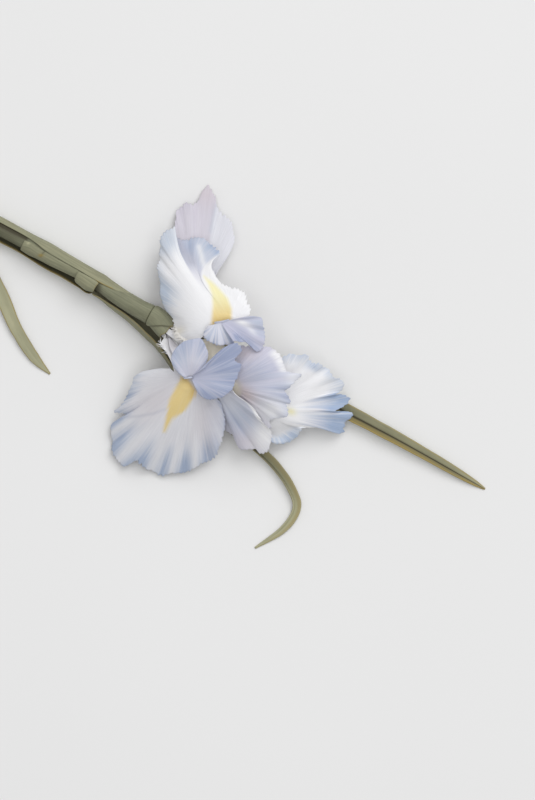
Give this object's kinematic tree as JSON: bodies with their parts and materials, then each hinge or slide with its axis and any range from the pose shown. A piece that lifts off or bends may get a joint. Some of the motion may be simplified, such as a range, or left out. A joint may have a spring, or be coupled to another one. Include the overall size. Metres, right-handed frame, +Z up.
{
  "type": "iris flower",
  "caption": "Pale blue and white iris bloom with yellow-marked falls, folded leaves and a cut sheathed stem, lying down.",
  "frame": {"origin": "centre of the box around the whole flower in plan, on the surface it lies on", "axes": "+Z up from the surface, +X from the cut end of the stem towards the bloom, +Y away from a viewer who stands at the near edge"},
  "size_m": [0.359, 0.2226, 0.0462],
  "materials": {
    "stem": "matte olive green",
    "sheath": "matte olive with ochre edges",
    "leaf": "matte olive with ochre edges",
    "fall": "fine cloth, white with pale blue margins and a yellow signal",
    "standard": "fine cloth, pale lavender",
    "style": "fine cloth, pale blue and lavender streaks"
  },
  "bodies": {
    "root": {"stem": "stem", "calyx_cup": "stem", "stem_sheath": "sheath", "bract_1": "sheath", "bract_2": "sheath", "lower_leaf": "leaf", "near_spathe": "leaf", "far_spathe": "leaf", "fall_1": "fall", "fall_2": "fall", "fall_3": "fall", "standard_1": "standard", "standard_2": "standard", "standard_3": "standard", "style_arm_1": "style", "style_arm_2": "style", "style_arm_3": "style"}
  },
  "joints": []
}
